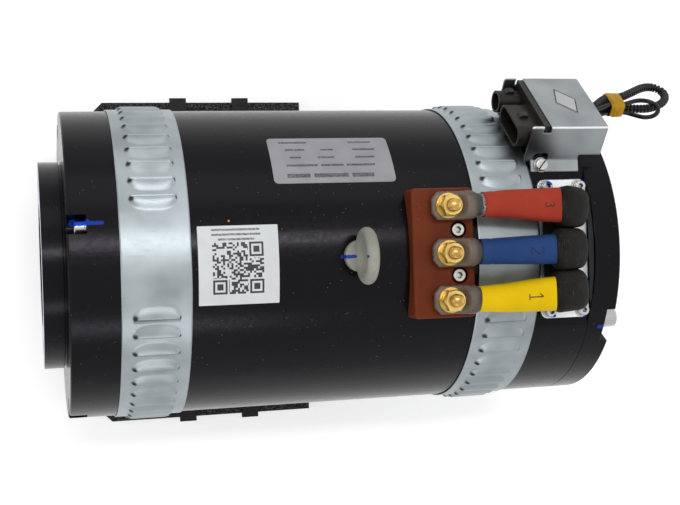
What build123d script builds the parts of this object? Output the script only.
from build123d import *
from math import cos, pi, radians, sin, sqrt, tan
import os

# Three-phase pump motor for a lift truck, lying on its foot
# The shaft runs along X. The pump bolts to the face at X = 0. +Z is up, to the terminals.
# Angles round the shaft are measured from the top (+Z) towards +Y.

# Housing
body_r = 102.5
wall = 16.5
boss_r = 69.0
boss_len = 14.5
groove_depth = 1.5
groove_w = 1.6
boss_seat_r = 62.0
boss_seat = 3.0
drive_shield_len = 34.0
frame_len = 262.0
rear_shield_len = 44.0
cover_len = 19.0
register_len = 4.0
fit_gap = 0.05
edge = 0.8

# Drive shield, from its outer face inwards
pilot_r = 41.3
pilot_depth = 7.0
pump_bolt_r = 5.0
pump_bolt_y = 53.2
pump_bolt_depth = 18.0
web_t = 10.0
hub_r = 40.0
rim_t = 18.5
shaft_hole_gap = 1.0

# Air windows and louvred bands
window_count = 12
window_angle = 14.0
window_len = 26.0
window_inset = 6.0
band_gap = 0.2
band_t = 0.8
band_w = 42.7
front_band_inset = 30.4
rear_band_inset = 4.7
louvre_len = 29.0
louvre_w = 7.5
louvre_h = 2.3
louvre_pitch = 6.85
louvre_reach = 149.0
louvre_slit = 1.4
front_slits = (22.5, 18.9)
rear_slits = (27.6, 26.0)
clamp_angle = -125.0
clamp_gap = 5.0
ear_t = 1.5
ear_h = 12.0
ear_w = 22.0
clamp_screw_r = 2.0
clamp_head_r = 3.5
clamp_head_h = 4.0
clamp_nut_af = 7.0
clamp_nut_h = 3.2

# Screws of the drive shield, in open pockets
drive_bolt_angle = 14.0
drive_bolt_inset = 7.0
drive_bolt_r = 3.0
drive_head_r = 5.0
drive_head_h = 6.0
drive_washer_r = 5.7
drive_washer_t = 1.0
drive_thread = 12.0
pocket_depth = 11.5
pocket_r = 6.0

# Long bolts of the rear cover
rear_bolt_angle = -31.7
rear_bolt_inset = 10.5
rear_bolt_r = 4.0
rear_head_r = 6.5
rear_head_h = 8.0
rear_flat_r = 7.7
rear_flat_t = 1.6
rear_split_r = 6.9
rear_split_t = 2.2
rear_thread = 14.0
notch_depth = 6.5
notch_reach = 22.5
notch_half = 13.3
cover_plate_t = 6.0
cover_wall = 26.5

# Lifting eye
eye_x = 193.0
eye_collar_r = 10.0
eye_collar_h = 6.0
eye_out_r = 17.75
eye_in_r = 10.0
eye_height = 36.0
eye_thread_r = 4.0
eye_thread = 12.0
spot_depth = 0.5

# Terminal block
block_back = 64.0
block_len = 41.0
block_half = 41.2
block_rise = 7.5
block_edge = 1.5
stud_inset = 0.8
stud_pitch = 29.6
stud_r = 4.0
stud_collar_r = 7.0
stud_collar_h = 4.7
stud_rise = 23.0
stud_root = 6.0
stud_washer_r = 8.0
stud_washer_t = 1.6
stud_split_r = 6.8
stud_split_t = 2.2
stud_nut_af = 13.0
stud_nut_h = 6.5
block_screw_inset = 10.2
block_screw_y = 14.5
block_screw_r = 2.5
block_head_r = 4.25
block_head_h = 5.0
block_bore_r = 5.5
block_bore_depth = 5.5
block_thread = 12.0

# Cable lugs and their covers
palm_w = 16.6
palm_t = 2.6
palm_reach = 9.3
barrel_r = 6.5
barrel_bore_r = 4.7
barrel_start = 10.2
barrel_len = 25.0
barrel_lift = 6.3
shrink_t = 0.6
shrink_gap = 0.1

# Phase cables and sleeves
strand_r = 4.6
jacket_r = 9.0
neck_r = 6.5
cable_exit_y = 27.5
cable_drop = 3.0
cable_bend_r = 15.0
lead_r = 3.0
lead_inset = 6.0
sleeve_wall = 0.7
sleeve_half_w = 8.0
sleeve_half_h = 9.9
sleeve_overlaps = (13.4, 16.2, 18.2)
sleeve_stops = (16.9, 21.4, 22.4)
sleeve_widths = (11.3, 9.6, 11.05)
taper_clear = 1.0
strand_gap = 2.0

# Rear shield, with its flat pad and cable outlet
pad_drop = 14.0
pad_inset = 5.5
bracket_pad_in = 7.4
bracket_pad_out = 3.6
shield_wall = 20.5
rear_web_t = 6.0
gland_back = 17.6
gland_len = 34.8
gland_half = 46.0
gland_t = 3.0
gland_corner = 5.0
gasket_t = 1.0
outlet_len = 24.0
outlet_half = 38.5
gland_screw_x = 11.7
gland_screw_y = 41.2
gland_screw_r = 2.0
gland_head_r = 3.5
gland_head_h = 4.0
gland_washer_r = 4.6
gland_washer_t = 0.8
gland_thread = 8.0
grommet_gap = 0.1
grommet_r = 10.5
grommet_flange_r = 12.2
grommet_flange_t = 3.0

# Folded bracket of the signal connectors, square to the angle below
bracket_angle = 49.85
bracket_half = 30.0
bracket_rise = 26.5
sheet_t = 1.5
bracket_inset = 15.0
bracket_len = 40.5
tab_inset = 1.6
tab_w = 8.2
wall_notch_h = 4.6
wall_low_rise = 4.1
wall_low_len = 38.4
flange_w = 7.0
bracket_slot_w = 5.2
bracket_relief_w = 10.6
bracket_relief_rise = 6.0
bracket_screw_inset = 12.8
bracket_screw_in = 2.4
bracket_screw_r = 2.5
bracket_head_r = 4.25
bracket_head_h = 2.6
bracket_washer_r = 4.9
bracket_washer_t = 0.8
bracket_thread = 11.0

# Signal connectors
mouth_len = 15.6
panel_inset = 10.6
panel_t = 4.0
panel_lift = 2.5
connector_drop = 13.0
connector_tail = 12.9
mouth_depth = 13.0
shell_t = 1.6
round_y = 20.8
round_r = 7.5
oblong_y = -8.3
oblong_half_w = 18.0
oblong_half_h = 7.5
pin_r = 0.9
pin_len = 7.0
latch_w = 5.0
latch_l = 6.0
latch_h = 2.0

# Signal harness
conduit_r = 2.8
signal_r = 1.6
tape_x = 391.0
tape_len = 10.2
tape_t = 0.6
tape_y0 = 13.0
tape_y1 = 29.8
tape_h0 = 107.5
tape_h1 = 118.4
boot_back = 18.0
boot_len = 20.0
boot_y = 7.0
boot_half_w = 8.5
boot_rise = 11.5
boot_hole_inset = 5.5
boot_hole_y = 3.0
boot_plug_r = 4.0
boot_plug_len = 8.0

# Labels
label_t = 0.3
label_gap = 0.02
plate_x = 142.5
plate_len = 80.0
plate_angles = (27.1, 48.7)
code_x = 91.5
code_len = 50.0
code_angles = (-15.4, 12.0)
mark_inset = 21.2
mark_y = 1.3
mark_long = (3.65, -15.15)
mark_short = (8.15, 1.95)

# Foot
foot_drop = 9.5
mat_t = 3.0
foot_t = 4.0
foot_x = 44.5
foot_len = 160.5
foot_half = 122.0
foot_bevel = 6.0
saddle_inset = 46.0
saddle_len = 114.5
saddle_half = 45.0
saddle_rise = 23.5
foot_rib_insets = (57.5, 106.0)
foot_rib_w = 12.5
foot_rib_t = 4.0
foot_rib_over = 3.0
foot_hole_r = 6.0
foot_hole_dx = 140.0
foot_hole_dy = 190.0
foot_hole_inset = 10.0
foot_bolt_r = 5.0
foot_bolt_head_r = 8.5
foot_bolt_head_h = 2.5
foot_bolt_thread = 11.0
foot_bolt_insets = (79.5, 131.5)
tread_w = 3.0
tread_depth = 1.0
tread_pitch = 8.0

# Shaft, 30 mm at both bearings
shaft_front = 10.5
shaft_tail = 6.0
journal_r = 15.0
shoulder_r = 18.0
rotor_seat_r = 20.0
tail_r = 10.0
socket_entry_r = 8.6
socket_entry = 5.0
spline_minor_r = 6.9
spline_major_r = 8.2
spline_teeth = 9
spline_tooth_w = 2.4
spline_len = 33.0
socket_drill = 2.0

# Ball bearings, 30 x 62 x 16
race_r = 31.0
race_w = 16.0
race_inner_r = 26.2
cone_r = 19.8
ball_r = 4.76
ball_pitch_r = 23.0
ball_count = 9
ball_gap = 0.05
cage_in_r = 21.4
cage_out_r = 24.6
cage_w = 12.0
cage_gap = 0.1
shaft_fit = 0.02
front_bearing_inset = 14.0
rear_bearing_inset = 4.0
seal_r = 21.0
seal_w = 7.0
seal_inset = 6.0
seal_gap = 0.1
spring_t = 1.8
spring_in_r = 25.0

# Active parts
core_inset = 58.0
core_len = 148.0
air_gap = 0.5
stator_bore_r = 55.0
slot_count = 24
slot_w = 6.0
slot_in_r = 58.0
yoke_t = 12.0
slot_mouth = 2.0
winding_gap = 0.2
coil_in_r = 57.0
coil_gap = 6.0
coil_len = 26.0
bar_count = 22
bar_r = 2.5
bar_ring = 49.0
cage_ring_in = 42.0
cage_ring_out = 54.0
cage_ring_w = 8.0

# Fan
fan_back = 28.0
fan_len = 16.0
fan_hub_r = 26.0
fan_r = 68.0
fan_disc_t = 2.5
fan_blades = 9
fan_blade_t = 3.0

# Speed sensing at the rear end
wheel_r = 26.0
wheel_t = 4.0
wheel_teeth = 24
wheel_tooth_w = 3.0
wheel_tooth_h = 2.5
wheel_clear = 1.0
sensor_gap = 0.6
sensor_half = 7.0
sensor_h = 19.0
sensor_t = 10.0

# Stations along the shaft
drive_x = boss_len
frame_x0 = drive_x + drive_shield_len
frame_x1 = frame_x0 + frame_len
shield_x1 = frame_x1 + rear_shield_len
rim_x = shield_x1 + cover_len
front_band_x = drive_x + front_band_inset
rear_band_x = frame_x1 + rear_band_inset - band_w
front_bearing_x = drive_x + front_bearing_inset
rear_bearing_x = frame_x1 + rear_bearing_inset
seal_x = drive_x + seal_inset
shaft_rear = shield_x1 + shaft_tail
core_x = frame_x0 + core_inset
core_x1 = core_x + core_len
fan_x = frame_x1 - fan_back
block_x = frame_x1 - block_back
stud_x = block_x + stud_inset
barrel_x0 = stud_x + barrel_start
barrel_x1 = barrel_x0 + barrel_len
gland_x = shield_x1 - gland_back
sleeve_ends = [(barrel_x1 - a, gland_x - b) for a, b in zip(sleeve_overlaps, sleeve_stops)]
bracket_x = frame_x1 + bracket_inset
tab_x = frame_x1 + tab_inset
wall_low_x = tab_x + wall_low_len
bracket_screw_x = frame_x1 + bracket_screw_inset
panel_x = frame_x1 + panel_inset
mouth_x = panel_x - mouth_len
connector_back = panel_x + connector_tail
boot_x = shield_x1 - boot_back
boot_hole_x = boot_x + boot_hole_inset
mark_x = bracket_x + mark_inset
saddle_x = foot_x + saddle_inset
foot_hole_x = foot_x + foot_hole_inset
foot_rib_xs = [foot_x + inset for inset in foot_rib_insets]
foot_bolt_xs = [foot_x + inset for inset in foot_bolt_insets]

# Radii and heights that follow the housing
groove_r = boss_r - groove_depth
bore_r = body_r - wall
band_r = body_r + band_gap
drive_bolt_ring = body_r - drive_bolt_inset
rear_bolt_ring = body_r - rear_bolt_inset
notch_floor_r = body_r - notch_reach
cover_rim_r = body_r - cover_wall
shield_bore_r = body_r - shield_wall
lead_ring = shield_bore_r - lead_inset
slot_out_r = bore_r - yoke_t
coil_out_r = bore_r - coil_gap
block_top = body_r + block_rise
stud_top = block_top + stud_rise
palm_z = block_top + stud_collar_h
barrel_z = palm_z + barrel_lift
pad_z = body_r - pad_drop
gland_top = pad_z + gasket_t + gland_t
bracket_top = body_r + bracket_rise
wall_low_h = body_r + wall_low_rise
bracket_relief_h = body_r + bracket_relief_rise
connector_h = bracket_top - connector_drop
boot_top = body_r + boot_rise
foot_z = -body_r - foot_drop
saddle_top = foot_z + saddle_rise
foot_rib_end = foot_half + foot_rib_over
stud_ys = (stud_pitch, 0.0, -stud_pitch)
exit_ys = (cable_exit_y, 0.0, -cable_exit_y)

# Where the bracket wall's outer face meets the flat pad
pad_foot_y = pad_z * tan(radians(bracket_angle)) - bracket_half / cos(radians(bracket_angle))
bracket_screw_y = pad_foot_y - bracket_screw_in
bracket_pad_y0 = pad_foot_y - bracket_pad_in
bracket_pad_y1 = pad_foot_y + bracket_pad_out


# Shared shapes
def bar(r, x0, x1):
    return Pos(x0, 0, 0) * Rot(0, 90, 0) * Cylinder(r, x1 - x0, align=(Align.CENTER, Align.CENTER, Align.MIN))


def ring(r_out, r_in, x0, x1):
    return bar(r_out, x0, x1) - bar(r_in, x0 - 1, x1 + 1)


def block(x0, x1, y0, y1, z0, z1):
    return Pos(x0, y0, z0) * Box(x1 - x0, y1 - y0, z1 - z0, align=(Align.MIN, Align.MIN, Align.MIN))


def post(x, y, r, z0, z1):
    return Pos(x, y, z0) * Cylinder(r, z1 - z0, align=(Align.CENTER, Align.CENTER, Align.MIN))


def around(shape, angle):
    return Rot(-angle, 0, 0) * shape


def along(r, x0, x1, ring_r, angle):
    return around(Pos(0, 0, ring_r) * bar(r, x0, x1), angle)


def hexagon(flats, height):
    return extrude(RegularPolygon(flats / 2, 6, major_radius=False), height)


def group(shapes):
    return Compound(children=list(shapes))


# A socket-head screw whose seat is at z = 0, with its head up and its shank down
def socket_screw(shank_r, shank_len, head_r, head_h):
    head = Pos(0, 0, head_h / 2) * Cylinder(head_r, head_h)
    head = chamfer(head.edges().group_by(Axis.Z)[-1], head_r * 0.1)
    key = Pos(0, 0, head_h * 0.45) * hexagon(head_r * 0.95, head_h)
    shank = Pos(0, 0, -shank_len / 2) * Cylinder(shank_r, shank_len)
    return head - key + shank


def washer(r_out, r_in, z0, z1):
    height = z1 - z0
    return Pos(0, 0, (z0 + z1) / 2) * (Cylinder(r_out, height) - Cylinder(r_in, height + 2))


def split_washer(r_out, r_in, z0, z1):
    gap = block(0, r_out + 1, -0.5, 0.5, z0 - 1, z1 + 1)
    return washer(r_out, r_in, z0, z1) - gap


# Turns a part standing on z = 0 so that it stands on the plane at x, pointing to -X or +X
def on_face(shape, x, ring_r, angle, outward):
    turned = Rot(0, 90 * outward, 0) * shape
    return around(Pos(x, 0, ring_r) * turned, angle)


# A cord's tube: straight runs joined by arcs as large as the runs allow
def cord(name, points, r):
    corners = [Vector(*p) for p in points]
    radii = []
    for before, here, after in zip(corners, corners[1:], corners[2:]):
        turn = radians((here - before).get_angle(after - here))
        shorter = min((here - before).length, (after - here).length)
        radii.append(0.45 * shorter / tan(turn / 2))
    print(name, "radii", [round(value, 1) for value in radii])
    return tube(name, corners, radii, r)


def tube(name, corners, radii, r):
    path = FilletPolyline(*corners, radius=radii)
    section = Plane(origin=path @ 0, z_dir=path % 0) * Circle(r)
    solid = sweep(section, path=path)
    print(name, "length", round(path.length, 1), "volume", round(solid.volume / (pi * r * r * path.length), 5))
    return solid


# Drive shield: end plate with the pump boss, the bearing hub and four screw pockets
def pump_bolt_holes():
    return [Pos(0, side * pump_bolt_y, 0) * bar(pump_bolt_r, -1, pump_bolt_depth) for side in (-1, 1)]


# Turned boss that centres the pump, seated in a recess of the shield
def pump_boss():
    boss = bar(boss_r, 0, drive_x) - ring(boss_r, groove_r, drive_x - groove_w, drive_x)
    boss += bar(boss_seat_r, drive_x - 1, drive_x + boss_seat)
    boss -= bar(pilot_r, -1, pilot_depth)
    boss -= bar(journal_r + shaft_hole_gap, 0, drive_x + boss_seat + 1)
    for hole in pump_bolt_holes():
        boss -= hole
    return boss


# Drive shield: a web with the bearing hub, a rim, and open pockets for its screws
def drive_end_shield():
    shield = bar(body_r, drive_x, frame_x0)
    shield = chamfer(shield.edges().filter_by(GeomType.CIRCLE).group_by(Axis.X)[0], edge)
    shield += ring(bore_r - fit_gap, bore_r - register_len, frame_x0 - edge, frame_x0 + register_len)
    hollow_x = drive_x + web_t
    shield -= ring(body_r - rim_t, hub_r, hollow_x, frame_x0)
    shield -= bar(body_r - rim_t, front_bearing_x + race_w + 1, frame_x0)
    shield -= bar(body_r - rim_t - 2, frame_x0 - 1, frame_x0 + register_len + 1)
    shield -= bar(boss_seat_r + fit_gap, drive_x - 1, drive_x + boss_seat)
    shield -= bar(journal_r + shaft_hole_gap, 0, seal_x)
    shield -= bar(seal_r + fit_gap, seal_x, front_bearing_x)
    shield -= bar(race_r + shaft_fit, front_bearing_x, frame_x0)
    for hole in pump_bolt_holes():
        shield -= hole
    for turn in range(4):
        angle = drive_bolt_angle + 90 * turn
        shield -= along(pocket_r, drive_x - 1, drive_x + pocket_depth, drive_bolt_ring, angle)
        mouth = block(drive_x - 1, drive_x + pocket_depth, -pocket_r, pocket_r, drive_bolt_ring, body_r + 5)
        shield -= around(mouth, angle)
        shield -= along(drive_bolt_r + 0.3, drive_x, frame_x0 + 1, drive_bolt_ring, angle)
    return shield


def drive_shield_bolts():
    seat = drive_x + pocket_depth - drive_washer_t
    length = frame_x0 + drive_thread - seat
    screw = socket_screw(drive_bolt_r, length, drive_head_r, drive_head_h)
    plain = washer(drive_washer_r, drive_bolt_r + fit_gap, -drive_washer_t, 0)
    pieces = []
    for turn in range(4):
        angle = drive_bolt_angle + 90 * turn
        pieces.append(on_face(screw, seat, drive_bolt_ring, angle, -1))
        pieces.append(on_face(plain, seat, drive_bolt_ring, angle, -1))
    return group(pieces)


# Housing tube with its air windows and every tapped hole
def stator_frame():
    tube_wall = ring(body_r, bore_r, frame_x0, frame_x1)
    half = body_r * tan(radians(window_angle / 2))
    spacing = 360 / window_count
    for turn in range(window_count):
        window = block(0, window_len, -half, half, 0, body_r + 5)
        front = Pos(frame_x0 + window_inset, 0, 0) * window
        rear = Pos(frame_x1 - window_inset - window_len, 0, 0) * window
        tube_wall -= around(front - bar(bore_r - 5, 0, frame_x1), drive_bolt_angle + spacing * (turn + 0.5))
        tube_wall -= around(rear - bar(bore_r - 5, 0, frame_x1), rear_bolt_angle + spacing * (turn + 0.5))
    for turn in range(4):
        front_hole = (frame_x0 - 1, frame_x0 + drive_thread + 1)
        rear_hole = (frame_x1 - rear_thread - 1, frame_x1 + 1)
        tube_wall -= along(drive_bolt_r + fit_gap, *front_hole, drive_bolt_ring, drive_bolt_angle + 90 * turn)
        tube_wall -= along(rear_bolt_r + fit_gap, *rear_hole, rear_bolt_ring, rear_bolt_angle + 90 * turn)
    tube_wall -= post(eye_x, 0, eye_collar_r + 0.5, body_r - spot_depth, body_r + 1)
    tube_wall -= post(eye_x, 0, eye_thread_r + fit_gap, body_r - spot_depth - eye_thread - 1, body_r + 1)
    for side in (-1, 1):
        hole_z = block_top - block_bore_depth - block_thread
        tube_wall -= post(block_x + block_screw_inset, side * block_screw_y, block_screw_r + fit_gap, hole_z, body_r)
    for x in foot_bolt_xs:
        tube_wall -= post(x, 0, foot_bolt_r + fit_gap, -body_r - 1, -body_r + foot_bolt_thread)
    return tube_wall


# One louvre at the top of a band: its hood, and the space under it, open at the slit
def louvre():
    top = band_r + band_t
    slant = Polygon((-louvre_w, top - 0.3), (0, top - 0.3), (0, top + louvre_h), align=None)
    hood = extrude(Plane.YZ * slant, louvre_len)
    under = Polygon((-louvre_w + 3, band_r - 1), (1, band_r - 1), (1, top + louvre_h - band_t), align=None)
    hollow = Pos(band_t, 0, 0) * extrude(Plane.YZ * under, louvre_len - 2 * band_t)
    return hood, hollow


def louvre_band(x0, slits):
    band = ring(band_r + band_t, band_r, x0, x0 + band_w)
    hood, hollow = louvre()
    start = x0 + (band_w - louvre_len) / 2
    for side, first in zip((1, -1), slits):
        count = int((louvre_reach - first) / louvre_pitch) + 1
        for step in range(count):
            angle = first + louvre_pitch * step
            if abs(side * angle - clamp_angle) < 2 * louvre_pitch:
                continue
            flip = Rot(0, 0, 180) if side < 0 else Rot(0, 0, 0)
            shift = start + louvre_len if side < 0 else start
            # The slit faces away from the top on both sides
            band += around(Pos(shift, 0, 0) * flip * hood, side * angle)
            band -= around(Pos(shift, 0, 0) * flip * hollow, side * angle)
    # The ends meet at a clamp low on the far side
    band -= around(block(x0 - 1, x0 + band_w + 1, -clamp_gap / 2, clamp_gap / 2, bore_r, body_r + 9), clamp_angle)
    middle = x0 + band_w / 2
    for side in (-1, 1):
        inner = side * clamp_gap / 2
        outer = inner + side * ear_t
        ear = block(
            middle - ear_w / 2,
            middle + ear_w / 2,
            min(inner, outer),
            max(inner, outer),
            band_r + 0.4,
            band_r + ear_h,
        )
        band += around(ear, clamp_angle)
    hole = Pos(middle, 0, band_r + ear_h * 0.6) * Rot(90, 0, 0) * Cylinder(clamp_screw_r + 0.2, 30)
    return band - around(hole, clamp_angle)


def front_louvre_band():
    return louvre_band(front_band_x, front_slits)


def rear_louvre_band():
    return louvre_band(rear_band_x, rear_slits)


def band_clamp_screws():
    grip = clamp_gap + 2 * ear_t
    screw = socket_screw(clamp_screw_r, grip + clamp_nut_h + 1.5, clamp_head_r, clamp_head_h)
    nut = Pos(0, 0, -grip - clamp_nut_h) * hexagon(clamp_nut_af, clamp_nut_h)
    nut -= Pos(0, 0, -grip) * Cylinder(clamp_screw_r + fit_gap, 20)
    pieces = []
    for x0 in (front_band_x, rear_band_x):
        place = Pos(x0 + band_w / 2, grip / 2, band_r + ear_h * 0.6) * Rot(-90, 0, 0)
        pieces.append(around(place * screw, clamp_angle))
        pieces.append(around(place * nut, clamp_angle))
    return group(pieces)


# Lifting eye, screwed down on a flat
def eye_bolt():
    seat = body_r - spot_depth
    wire_r = (eye_out_r - eye_in_r) / 2
    eye = Pos(eye_x, 0, seat + eye_height - eye_out_r) * Rot(0, 90, 0) * Torus(eye_in_r + wire_r, wire_r)
    collar = post(eye_x, 0, eye_collar_r, seat, seat + eye_collar_h)
    collar = chamfer(collar.edges().group_by(Axis.Z)[-1], 1.5)
    return eye + collar + post(eye_x, 0, eye_thread_r, seat - eye_thread, seat + 1)


# Terminal block, hollowed underneath to the curve of the housing
def terminal_block():
    moulding = block(block_x - block_len / 2, block_x + block_len / 2, -block_half, block_half, bore_r, block_top)
    moulding = fillet(moulding.edges().filter_by(Axis.Z), block_edge * 2)
    moulding = fillet(moulding.edges().group_by(Axis.Z)[-1], block_edge)
    moulding -= bar(body_r + fit_gap, frame_x0, frame_x1)
    for y in stud_ys:
        moulding -= post(stud_x, y, stud_r + fit_gap, bore_r, block_top + 1)
    for side in (-1, 1):
        x = block_x + block_screw_inset
        moulding -= post(x, side * block_screw_y, block_screw_r + 0.2, bore_r, block_top + 1)
        moulding -= post(x, side * block_screw_y, block_bore_r, block_top - block_bore_depth, block_top + 1)
    return moulding


def terminal_block_screws():
    screw = socket_screw(block_screw_r, block_thread, block_head_r, block_head_h)
    place = Pos(block_x + block_screw_inset, 0, block_top - block_bore_depth)
    return group(place * Pos(0, side * block_screw_y, 0) * screw for side in (-1, 1))


def terminal_studs():
    pieces = []
    for y in stud_ys:
        stud = post(stud_x, y, stud_r, block_top - stud_root, stud_top)
        stud = chamfer(stud.edges().group_by(Axis.Z)[-1], 0.6)
        pieces.append(stud + post(stud_x, y, stud_collar_r, block_top, palm_z))
    return group(pieces)


def on_studs(shape, z):
    return group(Pos(stud_x, y, z) * shape for y in stud_ys)


def terminal_washers():
    plain = washer(stud_washer_r, stud_r + 0.2, 0, stud_washer_t)
    split = split_washer(stud_split_r, stud_r + 0.1, stud_washer_t, stud_washer_t + stud_split_t)
    return group(Pos(stud_x, y, palm_z + palm_t) * piece for y in stud_ys for piece in (plain, split))


def terminal_nuts():
    nut = hexagon(stud_nut_af, stud_nut_h)
    crown = Pos(0, 0, -stud_nut_h) * Cone(
        stud_nut_af * 1.05,
        stud_nut_af * 0.47,
        stud_nut_h * 2,
        align=(Align.CENTER, Align.CENTER, Align.MIN),
    )
    nut = (nut & crown) - Cylinder(stud_r + fit_gap, 3 * stud_nut_h)
    return on_studs(nut, palm_z + palm_t + stud_washer_t + stud_split_t)


# A lug's outside, grown by the given skin
def lug_form(y, skin, barrel_end):
    x0 = stud_x - palm_reach - skin
    x1 = barrel_x0 + 4
    half = palm_w / 2 + skin
    palm = block(x0, x1, y - half, y + half, palm_z - skin, palm_z + palm_t + skin)
    palm = fillet(palm.edges().filter_by(Axis.Z).group_by(Axis.X)[0], half * 0.7)
    return palm + Pos(0, y, barrel_z) * bar(barrel_r + skin, barrel_x0 - skin, barrel_end)


def cable_lugs():
    pieces = []
    for y in stud_ys:
        lug = lug_form(y, 0, barrel_x1) - Pos(0, y, barrel_z) * bar(barrel_bore_r, barrel_x0 + 6, barrel_x1 + 1)
        pieces.append(lug - post(stud_x, y, stud_r + 0.2, palm_z - 1, palm_z + palm_t + 1))
    return group(pieces)


def lug_shrink_covers():
    pieces = []
    for y, ends in zip(stud_ys, sleeve_ends):
        end = ends[0] - 0.3
        skin = lug_form(y, shrink_gap + shrink_t, end) - lug_form(y, shrink_gap, end + 1)
        window_r = stud_washer_r + 0.3
        pieces.append(skin - post(stud_x, y, window_r, palm_z - 5, palm_z + palm_t + 1.5))
    return group(pieces)


# Phase cables: strands in the lug, then a braided jacket that bends down into the gland
def cable_points(phase):
    start = Vector(barrel_x1 + strand_gap, stud_ys[phase], barrel_z)
    top = Vector(gland_x, exit_ys[phase], barrel_z - cable_drop)
    foot = Vector(gland_x, exit_ys[phase], (pad_z + shield_bore_r) / 2)
    return start, top, foot


def phase_cable(phase):
    start, top, foot = cable_points(phase)
    run = top - start
    turn = radians(run.get_angle(foot - top))
    taper_len = run.length - cable_bend_r * tan(turn / 2) - taper_clear
    knee = start + run.normalized() * taper_len
    taper = Cone(neck_r, jacket_r, taper_len, align=(Align.CENTER, Align.CENTER, Align.MIN))
    bend = tube("phase cable", [knee, top, foot], [cable_bend_r], jacket_r)
    strands = Pos(0, start.Y, barrel_z) * bar(strand_r, barrel_x0 + 7, start.X + 3)
    coil_x = core_x1 + coil_len
    lead_z = sqrt(lead_ring**2 - exit_ys[phase] ** 2)
    corner = Vector(gland_x, exit_ys[phase], lead_z)
    lead = tube("phase lead", [foot + Vector(0, 0, 1), corner, Vector(coil_x, corner.Y, lead_z)], [2 * lead_r], lead_r)
    return Plane(origin=start, z_dir=run) * taper + bend + strands + lead


# Coloured sleeve, round on the lug and flattened over the jacket
def sleeve(phase):
    start, top, foot = cable_points(phase)
    x0, x1 = sleeve_ends[phase]
    reach = (x1 - start.X) / (top.X - start.X)
    end = start + (top - start) * reach
    first = Plane(origin=(x0, start.Y, start.Z), x_dir=(0, 1, 0), z_dir=(1, 0, 0))
    last = Plane(origin=end, x_dir=(0, 1, 0), z_dir=(1, 0, 0))
    outside = loft([first * Circle(sleeve_half_w), last * Ellipse(sleeve_widths[phase], sleeve_half_h)])
    slim = sleeve_widths[phase] - sleeve_wall
    inside = loft([first * Circle(sleeve_half_w - sleeve_wall), last * Ellipse(slim, sleeve_half_h - sleeve_wall)])
    return outside - inside


# Gland: gasket, plate, grommets and screws over the cable outlet
def gland_outline(z0, z1):
    plate = block(gland_x - gland_len / 2, gland_x + gland_len / 2, -gland_half, gland_half, z0, z1)
    return fillet(plate.edges().filter_by(Axis.Z), gland_corner)


def gland_places():
    return [(gland_x + i * gland_screw_x, j * gland_screw_y) for i in (-1, 1) for j in (-1, 1)]


def cable_outlet(z0, z1):
    return block(gland_x - outlet_len / 2, gland_x + outlet_len / 2, -outlet_half, outlet_half, z0, z1)


def gland_gasket():
    gasket = gland_outline(pad_z, pad_z + gasket_t) - cable_outlet(pad_z - 1, pad_z + gasket_t + 1)
    for x, y in gland_places():
        gasket -= post(x, y, gland_screw_r + 0.1, pad_z - 1, gland_top)
    return gasket


def gland_plate():
    plate = gland_outline(pad_z + gasket_t, gland_top)
    plate = chamfer(plate.edges().group_by(Axis.Z)[-1], 0.4)
    for x, y in gland_places():
        plate -= post(x, y, gland_screw_r + 0.2, pad_z, gland_top + 1)
    for y in exit_ys:
        plate -= post(gland_x, y, grommet_r + fit_gap, pad_z, gland_top + 1)
    return plate


def gland_screws():
    seat = gland_top + gland_washer_t
    screw = socket_screw(gland_screw_r, seat - pad_z + gland_thread, gland_head_r, gland_head_h)
    plain = washer(gland_washer_r, gland_screw_r + fit_gap, -gland_washer_t, 0)
    return group(Pos(x, y, seat) * piece for x, y in gland_places() for piece in (screw, plain))


def cable_grommets():
    pieces = []
    for y in exit_ys:
        grommet = post(gland_x, y, grommet_r, pad_z, gland_top)
        flange = post(gland_x, y, grommet_flange_r, gland_top, gland_top + grommet_flange_t)
        flange = chamfer(flange.edges().group_by(Axis.Z)[-1], 1.0)
        hole = post(gland_x, y, jacket_r + grommet_gap, pad_z - 1, gland_top + grommet_flange_t + 1)
        pieces.append(grommet + flange - hole)
    return group(pieces)


# Bracket frame: heights run from the shaft axis along bracket_angle, y runs towards the far side
def to_bracket(shape):
    return around(shape, bracket_angle)


def both_sides(shape):
    turned = around(shape, -bracket_angle)
    return [to_bracket(turned), to_bracket(mirror(turned, about=Plane.XZ))]


def bracket_pad():
    return block(frame_x1 + pad_inset, shield_x1, bracket_pad_y0, bracket_pad_y1, pad_z - 12, pad_z)


def bracket_cutaway():
    return block(frame_x1 + pad_inset, shield_x1, bracket_pad_y0, body_r, pad_z, body_r + 5)


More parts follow.
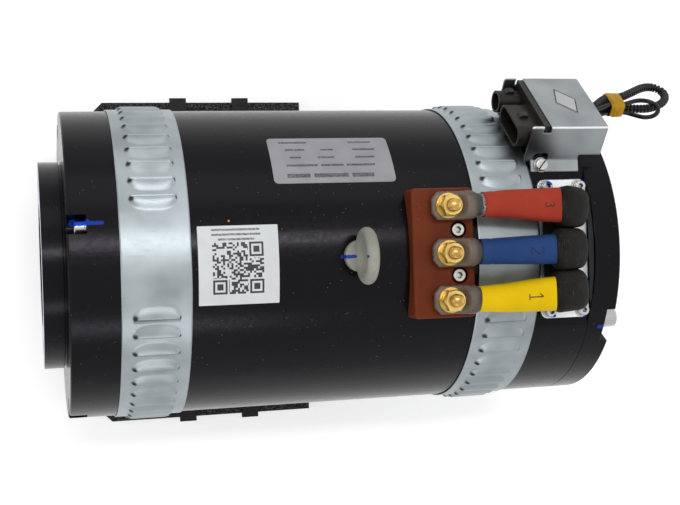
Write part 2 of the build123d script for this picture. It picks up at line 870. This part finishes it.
# Rear shield: ring with a flat for the gland, two bracket pads, and the bearing hub
def rear_end_shield():
    shield = bar(body_r, frame_x1, shield_x1)
    for pad, cut in zip(both_sides(bracket_pad()), both_sides(bracket_cutaway())):
        shield = shield + pad - cut
    shield -= block(frame_x1 + pad_inset, shield_x1, -body_r, bracket_pad_y0 + 1, pad_z, body_r + 1)
    web_x = shield_x1 - rear_web_t
    shield -= bar(shield_bore_r, frame_x1, web_x)
    shield += ring(hub_r, race_r + shaft_fit, rear_bearing_x - 1, web_x)
    shield += ring(hub_r, spring_in_r, rear_bearing_x + race_w + spring_t, web_x)
    shield -= bar(rotor_seat_r, web_x - 1, shield_x1 + 1)
    shield += ring(bore_r - fit_gap, bore_r - register_len, frame_x1 - register_len, frame_x1 + 1)
    shield -= cable_outlet(pad_z - 25, pad_z + 1)
    for x, y in gland_places():
        shield -= post(x, y, gland_screw_r + fit_gap, pad_z - gland_thread - 1, pad_z + 1)
    for turn in range(4):
        angle = rear_bolt_angle + 90 * turn
        shield -= along(rear_bolt_r + 0.4, frame_x1 - 1, shield_x1 + 1, rear_bolt_ring, angle)
    hole = post(bracket_screw_x, bracket_screw_y, bracket_screw_r + fit_gap, pad_z - bracket_thread - 1, pad_z + 1)
    for tapped in both_sides(hole):
        shield -= tapped
    return shield - to_bracket(post(boot_hole_x, boot_hole_y, boot_plug_r + fit_gap, shield_bore_r - 10, body_r + 5))


# Rear cover: shallow cap over the speed wheel, notched for the bolt heads
def rear_cover():
    cover = bar(body_r, shield_x1, rim_x)
    cover = chamfer(cover.edges().filter_by(GeomType.CIRCLE), edge)
    cover -= bar(cover_rim_r, shield_x1 - 1, rim_x - cover_plate_t)
    for turn in range(4):
        angle = rear_bolt_angle + 90 * turn
        notch = block(rim_x - notch_depth, rim_x + 1, -notch_half, notch_half, notch_floor_r, body_r + 5)
        notch = fillet(notch.edges().filter_by(Axis.X).group_by(Axis.Z)[0], 3)
        cover -= around(notch, angle)
        cover -= along(rear_bolt_r + 0.4, shield_x1 - 1, rim_x + 1, rear_bolt_ring, angle)
    return cover


def rear_bolts():
    seat = rim_x - notch_depth + rear_flat_t + rear_split_t
    screw = socket_screw(rear_bolt_r, seat - frame_x1 + rear_thread, rear_head_r, rear_head_h)
    split = split_washer(rear_split_r, rear_bolt_r + fit_gap, -rear_split_t, 0)
    flat = washer(rear_flat_r, rear_bolt_r + fit_gap, -rear_split_t - rear_flat_t, -rear_split_t)
    pieces = []
    for turn in range(4):
        angle = rear_bolt_angle + 90 * turn
        pieces += [on_face(piece, seat, rear_bolt_ring, angle, 1) for piece in (screw, split, flat)]
    return group(pieces)


# Folded sheet bracket: a lid on two walls, each with a flange on a pad
def bracket_wall():
    x0 = tab_x
    x1 = bracket_x + bracket_len
    low = body_r - 8
    notch_z = bracket_top - wall_notch_h
    outline = Polyline(
        (x0, low),
        (wall_low_x, low),
        (wall_low_x, wall_low_h),
        (x1, wall_low_h),
        (x1, bracket_top),
        (bracket_x, bracket_top),
        (bracket_x, notch_z),
        (x0 + tab_w, notch_z),
        (x0 + tab_w, bracket_top),
        (x0, bracket_top),
        close=True,
    )
    sheet = Pos(0, sheet_t - bracket_half, 0) * extrude(Plane.XZ * make_face(outline), sheet_t)
    corner = sheet.edges().filter_by(Axis.Y).group_by(Axis.X)[0].sort_by(Axis.Z)[-1]
    return fillet(corner, 1.5)


def bracket_side():
    wall_sheet = to_bracket(bracket_wall()) - block(0, rim_x + 20, 0, body_r + 20, 0, pad_z)
    x0 = frame_x1 + pad_inset + 0.5
    flange = block(x0, wall_low_x, pad_foot_y - flange_w, pad_foot_y + 1, pad_z, pad_z + sheet_t)
    slot = block(
        bracket_screw_x - bracket_slot_w / 2,
        bracket_screw_x + bracket_slot_w / 2,
        pad_foot_y - flange_w - 1,
        bracket_screw_y + bracket_slot_w / 2 + 0.2,
        pad_z - 1,
        pad_z + 3,
    )
    opening = block(
        bracket_screw_x - bracket_relief_w / 2,
        bracket_screw_x + bracket_relief_w / 2,
        -bracket_half - 1,
        -bracket_half + 2 * sheet_t,
        body_r - 10,
        bracket_relief_h,
    )
    opening = fillet(opening.edges().filter_by(Axis.Y).group_by(Axis.Z)[-1], 3)
    return wall_sheet - to_bracket(opening) + (flange - slot)


def connector_bracket():
    x1 = bracket_x + bracket_len
    lid = block(bracket_x, x1, -bracket_half, bracket_half, bracket_top - sheet_t, bracket_top)
    sides = both_sides(bracket_side())
    return to_bracket(lid) + sides[0] + sides[1]


def bracket_screws():
    seat = sheet_t + bracket_washer_t
    head = Cylinder(bracket_head_r, bracket_head_h, align=(Align.CENTER, Align.CENTER, Align.MIN))
    head = fillet(head.edges().group_by(Axis.Z)[-1], 1.0)
    head -= Rot(0, 0, 50) * block(-10, 10, -0.5, 0.5, bracket_head_h - 1.2, bracket_head_h + 1)
    shank = Pos(0, 0, -(seat + bracket_thread) / 2) * Cylinder(bracket_screw_r, seat + bracket_thread)
    plain = washer(bracket_washer_r, bracket_screw_r + fit_gap, -bracket_washer_t, 0)
    place = Pos(bracket_screw_x, bracket_screw_y, pad_z + seat)
    return group(both_sides(place * (head + shank)) + both_sides(place * plain))


# Signal connectors in a black panel across the bracket's mouth
def panel():
    half = bracket_half - sheet_t - 0.2
    return block(panel_x, panel_x + panel_t, -half, half, body_r + panel_lift, bracket_top - 0.5)


def oblong(half_w, half_h, x0, x1):
    body = block(x0, x1, oblong_y - half_w, oblong_y + half_w, connector_h - half_h, connector_h + half_h)
    return fillet(body.edges().filter_by(Axis.X), half_h * 0.85)


def at_round(shape):
    return Pos(0, round_y, connector_h) * shape


def latch(y, top):
    x0 = mouth_x + 5
    nub = block(x0, x0 + latch_l, y - latch_w / 2, y + latch_w / 2, top - 1, top + latch_h)
    return chamfer(nub.edges().filter_by(Axis.Y).group_by(Axis.X)[0].sort_by(Axis.Z)[-1], 1.5)


def oblong_connector():
    shell = oblong(oblong_half_w, oblong_half_h, mouth_x, panel_x + 1) + panel()
    shell += oblong(oblong_half_w - 2, oblong_half_h - 1, panel_x + 1, connector_back)
    shell += latch(oblong_y, connector_h + oblong_half_h)
    shell -= oblong(oblong_half_w - shell_t, oblong_half_h - shell_t, mouth_x - 1, mouth_x + mouth_depth)
    shell -= at_round(bar(round_r - 0.4, panel_x - 1, panel_x + panel_t + 1))
    for pin in oblong_pins():
        shell -= pin
    return to_bracket(shell)


def round_connector():
    shell = at_round(bar(round_r, mouth_x, panel_x) + bar(round_r - 0.5, panel_x, connector_back))
    shell += latch(round_y, connector_h + round_r)
    shell -= at_round(bar(round_r - shell_t, mouth_x - 1, mouth_x + mouth_depth))
    for pin in round_pins():
        shell -= pin
    return to_bracket(shell)


def pin_at(y, h):
    floor_x = mouth_x + mouth_depth
    return Pos(0, y, h) * bar(pin_r, floor_x - pin_len, floor_x + 2)


def round_pins():
    return [pin_at(round_y + side * 2.4, connector_h) for side in (-1, 1)]


def oblong_pins():
    return [pin_at(oblong_y + 5 * step, connector_h) for step in (-2.5, -1.5, -0.5, 0.5, 1.5, 2.5)]


def connector_pins():
    return group(to_bracket(pin) for pin in round_pins() + oblong_pins())


# Signal harness: two cords leave the connectors, are taped into a loop and return to the boot
conduit_route = (
    (334.0, 20.8, 116.0),
    (343.0, 20.8, 116.0),
    (352.0, 18.5, 115.6),
    (361.0, 13.6, 115.2),
    (370.0, 12.2, 115.2),
    (378.0, 14.8, 115.4),
    (385.0, 21.4, 115.5),
    (391.0, 25.6, 115.5),
    (397.0, 26.3, 115.4),
    (403.0, 26.7, 115.3),
    (414.3, 33.3, 115.2),
    (424.4, 39.8, 114.8),
    (432.5, 42.4, 114.3),
    (439.3, 40.9, 113.6),
    (442.2, 35.0, 112.9),
    (439.9, 28.6, 112.3),
    (434.6, 23.7, 111.8),
    (428.0, 20.3, 111.4),
    (420.4, 18.3, 111.1),
    (410.5, 18.9, 110.9),
    (401.0, 20.4, 110.9),
    (392.0, 20.6, 110.9),
    (384.0, 17.8, 109.0),
    (374.0, 12.4, 107.8),
    (364.0, 10.4, 107.3),
    (356.5, 10.4, 107.3),
)
lead_route = (
    (334.0, -4.0, 116.0),
    (343.0, -4.0, 116.0),
    (353.0, -1.4, 116.4),
    (364.0, 4.4, 116.7),
    (374.0, 8.0, 116.7),
    (383.0, 12.6, 116.5),
    (391.0, 16.0, 116.4),
    (401.0, 16.3, 116.3),
    (407.8, 18.9, 116.9),
    (413.9, 19.7, 117.6),
    (420.6, 18.9, 117.4),
    (425.2, 15.1, 116.6),
    (425.7, 10.3, 115.2),
    (421.3, 5.9, 113.6),
    (414.1, 5.7, 112.0),
    (409.2, 10.2, 110.9),
    (402.8, 15.6, 110.4),
    (391.0, 15.6, 110.4),
    (381.0, 11.4, 110.8),
    (371.0, 6.8, 111.6),
    (363.0, 5.0, 111.8),
    (356.5, 5.0, 111.8),
)


def harness_conduit():
    return to_bracket(cord("conduit", conduit_route, conduit_r))


def harness_lead():
    return to_bracket(cord("signal lead", lead_route, signal_r))


def tape_form(skin, x0, x1):
    form = block(x0, x1, tape_y0 - skin, tape_y1 + skin, tape_h0 - skin, tape_h1 + skin)
    return fillet(form.edges().filter_by(Axis.X), 2.4 + skin)


def harness_tape():
    x1 = tape_x + tape_len
    return to_bracket(tape_form(tape_t, tape_x, x1) - tape_form(0, tape_x - 1, x1 + 1))


def harness_boot():
    boot = block(boot_x, boot_x + boot_len, boot_y - boot_half_w, boot_y + boot_half_w, body_r - 8, boot_top)
    boot = fillet(boot.edges().group_by(Axis.Z)[-1], 2.5)
    boot -= bar(body_r + 0.1, 0, rim_x + 20)
    return to_bracket(boot + post(boot_hole_x, boot_hole_y, boot_plug_r, body_r - boot_plug_len, body_r + 2))


# Labels, wrapped on the housing, and the mark on the bracket
def wrapped_label(x0, length, angles, corner):
    low, high = angles
    half = body_r * sin(radians(high - low) / 2)
    prism = extrude(Pos(x0 + length / 2, 0, 0) * RectangleRounded(length, 2 * half, corner), body_r * 2)
    return around(ring(body_r + label_t, body_r + label_gap, x0, x0 + length) & prism, (low + high) / 2)


def rating_plate():
    return wrapped_label(plate_x, plate_len, plate_angles, 3)


def code_label():
    return wrapped_label(code_x, code_len, code_angles, 0.5)


def mark_label():
    corners = []
    for sign in (1, -1):
        corners.append((mark_x + sign * mark_long[0], mark_y + sign * mark_long[1]))
        corners.append((mark_x + sign * mark_short[0], mark_y + sign * mark_short[1]))
    sheet = extrude(make_face(Polyline(*corners, close=True)), label_t)
    return to_bracket(Pos(0, 0, bracket_top) * sheet)


# Foot: ribbed rubber mat, plate with a saddle, and stiffening ribs that reach past its edges
def foot_holes(r):
    centre = foot_hole_x + foot_hole_dx / 2
    return [
        post(centre + i * foot_hole_dx / 2, j * foot_hole_dy / 2, r, foot_z - 1, 0) for i in (-1, 1) for j in (-1, 1)
    ]


def foot_pad():
    mat = block(foot_x, foot_x + foot_len, -foot_half, foot_half, foot_z, foot_z + mat_t)
    mat = chamfer(mat.edges().filter_by(Axis.Z).group_by(Axis.X)[0], foot_bevel)
    for step in range(int(2 * foot_half / tread_pitch)):
        y = -foot_half + tread_pitch * (step + 0.5)
        mat -= block(foot_x - 1, foot_x + foot_len + 1, y, y + tread_w, foot_z - 1, foot_z + tread_depth)
    for hole in foot_holes(foot_hole_r):
        mat -= hole
    for x in foot_bolt_xs:
        mat -= post(x, 0, foot_bolt_head_r + 1, foot_z - 1, 0)
    return mat


def foot_plate():
    z0 = foot_z + mat_t
    plate = block(foot_x, foot_x + foot_len, -foot_half, foot_half, z0, z0 + foot_t)
    plate = chamfer(plate.edges().filter_by(Axis.Z).group_by(Axis.X)[0], foot_bevel)
    plate += block(saddle_x, saddle_x + saddle_len, -saddle_half, saddle_half, z0, saddle_top)
    plate -= bar(body_r + fit_gap, 0, rim_x)
    for hole in foot_holes(foot_hole_r):
        plate -= hole
    for x in foot_bolt_xs:
        plate -= post(x, 0, foot_bolt_r + 0.3, foot_z - 1, 0)
        plate -= post(x, 0, foot_bolt_head_r + 0.5, foot_z - 1, z0 + foot_bolt_head_h)
    return plate


def foot_ribs():
    z0 = foot_z + mat_t + foot_t
    pieces = []
    for x in foot_rib_xs:
        pieces.append(block(x, x + foot_rib_w, saddle_half, foot_rib_end, z0, z0 + foot_rib_t))
        pieces.append(block(x, x + foot_rib_w, -foot_rib_end, -saddle_half, z0, z0 + foot_rib_t))
    return group(pieces)


def foot_bolts():
    z0 = foot_z + mat_t
    pieces = []
    for x in foot_bolt_xs:
        head = post(x, 0, foot_bolt_head_r, z0, z0 + foot_bolt_head_h)
        head -= Pos(x, 0, z0 - 1) * hexagon(foot_bolt_r, 1 + foot_bolt_head_h * 0.6)
        pieces.append(head + post(x, 0, foot_bolt_r, z0 + foot_bolt_head_h, foot_bolt_thread - body_r - 1))
    return group(pieces)


# Shaft, with a splined socket for the pump in its front end
def shaft():
    front_seat = front_bearing_x + race_w
    axle = bar(journal_r, shaft_front, rear_bearing_x + race_w + 2)
    axle += bar(shoulder_r, front_seat, rear_bearing_x)
    axle += bar(rotor_seat_r, core_x - cage_ring_w, core_x1 + cage_ring_w)
    axle += bar(tail_r, rear_bearing_x, shaft_rear)
    axle = chamfer(axle.edges().filter_by(GeomType.CIRCLE).group_by(Axis.X)[0], edge)
    entry_x = shaft_front + socket_entry
    axle -= bar(socket_entry_r, shaft_front - 1, entry_x)
    axle -= bar(spline_minor_r, shaft_front, entry_x + spline_len + socket_drill)
    half = spline_tooth_w / 2
    for tooth in range(spline_teeth):
        groove = block(entry_x - 1, entry_x + spline_len, -half, half, 0, spline_major_r)
        axle -= around(groove, 360 / spline_teeth * tooth)
    return axle


# Cage rotor: laminated core with cast bars and end rings
def rotor_core():
    core = ring(stator_bore_r - air_gap, rotor_seat_r + shaft_fit, core_x, core_x1)
    for step in range(bar_count):
        core -= along(bar_r + shaft_fit, core_x - 1, core_x1 + 1, bar_ring, 360 / bar_count * step)
    return core


def rotor_cage():
    cage = ring(cage_ring_out, cage_ring_in, core_x - cage_ring_w, core_x)
    cage += ring(cage_ring_out, cage_ring_in, core_x1, core_x1 + cage_ring_w)
    for step in range(bar_count):
        cage += along(bar_r, core_x - 1, core_x1 + 1, bar_ring, 360 / bar_count * step)
    return cage


# Stator: slotted core and the coils that fill its slots
def slot_block(x0, x1, width, r0, r1, step):
    return around(block(x0, x1, -width / 2, width / 2, r0, r1), 360 / slot_count * (step + 0.5))


def stator_core():
    core = ring(bore_r - fit_gap, stator_bore_r, core_x, core_x1)
    for step in range(slot_count):
        core -= slot_block(core_x - 1, core_x1 + 1, slot_w, slot_in_r, slot_out_r, step)
        core -= slot_block(core_x - 1, core_x1 + 1, slot_mouth, stator_bore_r - 1, slot_in_r + 1, step)
    return core


def stator_winding():
    winding = Part()
    for x0 in (core_x - coil_len, core_x1):
        coil = ring(coil_out_r, coil_in_r, x0, x0 + coil_len)
        winding += fillet(coil.edges().filter_by(GeomType.CIRCLE), 3)
    r0 = slot_in_r + winding_gap
    r1 = slot_out_r - winding_gap
    for step in range(slot_count):
        winding += slot_block(core_x - 4, core_x1 + 4, slot_w - 2 * winding_gap, r0, r1, step)
    return winding


def cooling_fan():
    fan = ring(fan_hub_r, shoulder_r + shaft_fit, fan_x, fan_x + fan_len)
    fan += ring(fan_r, fan_hub_r - 1, fan_x, fan_x + fan_disc_t)
    half = fan_blade_t / 2
    for step in range(fan_blades):
        blade = block(fan_x + 0.5, fan_x + fan_len, -half, half, fan_hub_r - 1, fan_r - 2)
        fan += around(blade, 360 / fan_blades * step)
    return fan


# Ball bearings
def race_track(x0):
    return Pos(x0 + race_w / 2, 0, 0) * Rot(0, 90, 0) * Torus(ball_pitch_r, ball_r + ball_gap)


def bearing_outer_rings():
    pieces = []
    for x0 in (front_bearing_x, rear_bearing_x):
        pieces.append(ring(race_r, race_inner_r, x0, x0 + race_w) - race_track(x0))
    return group(pieces)


def bearing_inner_rings():
    pieces = []
    for x0 in (front_bearing_x, rear_bearing_x):
        pieces.append(ring(cone_r, journal_r + shaft_fit, x0, x0 + race_w) - race_track(x0))
    return group(pieces)


def balls(x0, r):
    pieces = []
    for step in range(ball_count):
        pieces.append(around(Pos(x0 + race_w / 2, 0, ball_pitch_r) * Sphere(r), 360 / ball_count * step))
    return pieces


def cage(x0):
    middle = x0 + race_w / 2
    retainer = ring(cage_out_r, cage_in_r, middle - cage_w / 2, middle + cage_w / 2)
    for pocket in balls(x0, ball_r + cage_gap):
        retainer -= pocket
    return retainer


# Shaft seal, and the wave spring that loads the rear bearing
def shaft_seal():
    return ring(seal_r, journal_r + seal_gap, seal_x, seal_x + seal_w)


def wave_spring():
    x0 = rear_bearing_x + race_w
    return ring(race_r - 1, spring_in_r, x0, x0 + spring_t)


# Toothed wheel on the shaft's tail and the sensor that reads it
def encoder_wheel():
    x0 = shield_x1 + wheel_clear
    wheel = ring(wheel_r, tail_r + shaft_fit, x0, x0 + wheel_t)
    for step in range(wheel_teeth):
        half = wheel_tooth_w / 2
        gap = block(x0 - 1, x0 + wheel_t + 1, -half, half, wheel_r - wheel_tooth_h, wheel_r + 1)
        wheel -= around(gap, 360 / wheel_teeth * step)
    return wheel


def speed_sensor():
    low = wheel_r + sensor_gap
    sensor = block(shield_x1, shield_x1 + sensor_t, -sensor_half, sensor_half, low, low + sensor_h)
    return fillet(sensor.edges().filter_by(Axis.X), 1.5)


# Every piece, by the name it goes by
pieces = {
    "pump_boss": pump_boss(),
    "drive_end_shield": drive_end_shield(),
    "drive_shield_bolts": drive_shield_bolts(),
    "stator_frame": stator_frame(),
    "stator_core": stator_core(),
    "stator_winding": stator_winding(),
    "front_louvre_band": front_louvre_band(),
    "rear_louvre_band": rear_louvre_band(),
    "band_clamp_screws": band_clamp_screws(),
    "eye_bolt": eye_bolt(),
    "terminal_block": terminal_block(),
    "terminal_block_screws": terminal_block_screws(),
    "terminal_studs": terminal_studs(),
    "terminal_washers": terminal_washers(),
    "terminal_nuts": terminal_nuts(),
    "cable_lugs": cable_lugs(),
    "lug_shrink_covers": lug_shrink_covers(),
    "red_sleeve": sleeve(0),
    "blue_sleeve": sleeve(1),
    "yellow_sleeve": sleeve(2),
    "phase_cable_1": phase_cable(0),
    "phase_cable_2": phase_cable(1),
    "phase_cable_3": phase_cable(2),
    "gland_plate": gland_plate(),
    "gland_gasket": gland_gasket(),
    "gland_screws": gland_screws(),
    "cable_grommets": cable_grommets(),
    "rear_end_shield": rear_end_shield(),
    "rear_cover": rear_cover(),
    "rear_bolts": rear_bolts(),
    "connector_bracket": connector_bracket(),
    "bracket_screws": bracket_screws(),
    "round_connector": round_connector(),
    "oblong_connector": oblong_connector(),
    "connector_pins": connector_pins(),
    "harness_boot": harness_boot(),
    "harness_conduit": harness_conduit(),
    "harness_lead": harness_lead(),
    "harness_tape": harness_tape(),
    "rating_plate": rating_plate(),
    "code_label": code_label(),
    "mark_label": mark_label(),
    "foot_plate": foot_plate(),
    "foot_pad": foot_pad(),
    "foot_ribs": foot_ribs(),
    "foot_bolts": foot_bolts(),
    "shaft": shaft(),
    "rotor_core": rotor_core(),
    "rotor_cage": rotor_cage(),
    "cooling_fan": cooling_fan(),
    "bearing_outer_rings": bearing_outer_rings(),
    "bearing_inner_rings": bearing_inner_rings(),
    "front_balls": group(balls(front_bearing_x, ball_r)),
    "front_cage": cage(front_bearing_x),
    "rear_balls": group(balls(rear_bearing_x, ball_r)),
    "rear_cage": cage(rear_bearing_x),
    "shaft_seal": shaft_seal(),
    "wave_spring": wave_spring(),
    "encoder_wheel": encoder_wheel(),
    "speed_sensor": speed_sensor(),
}

os.makedirs("parts", exist_ok=True)
for name, shape in pieces.items():
    export_step(shape, f"parts/{name}.step")
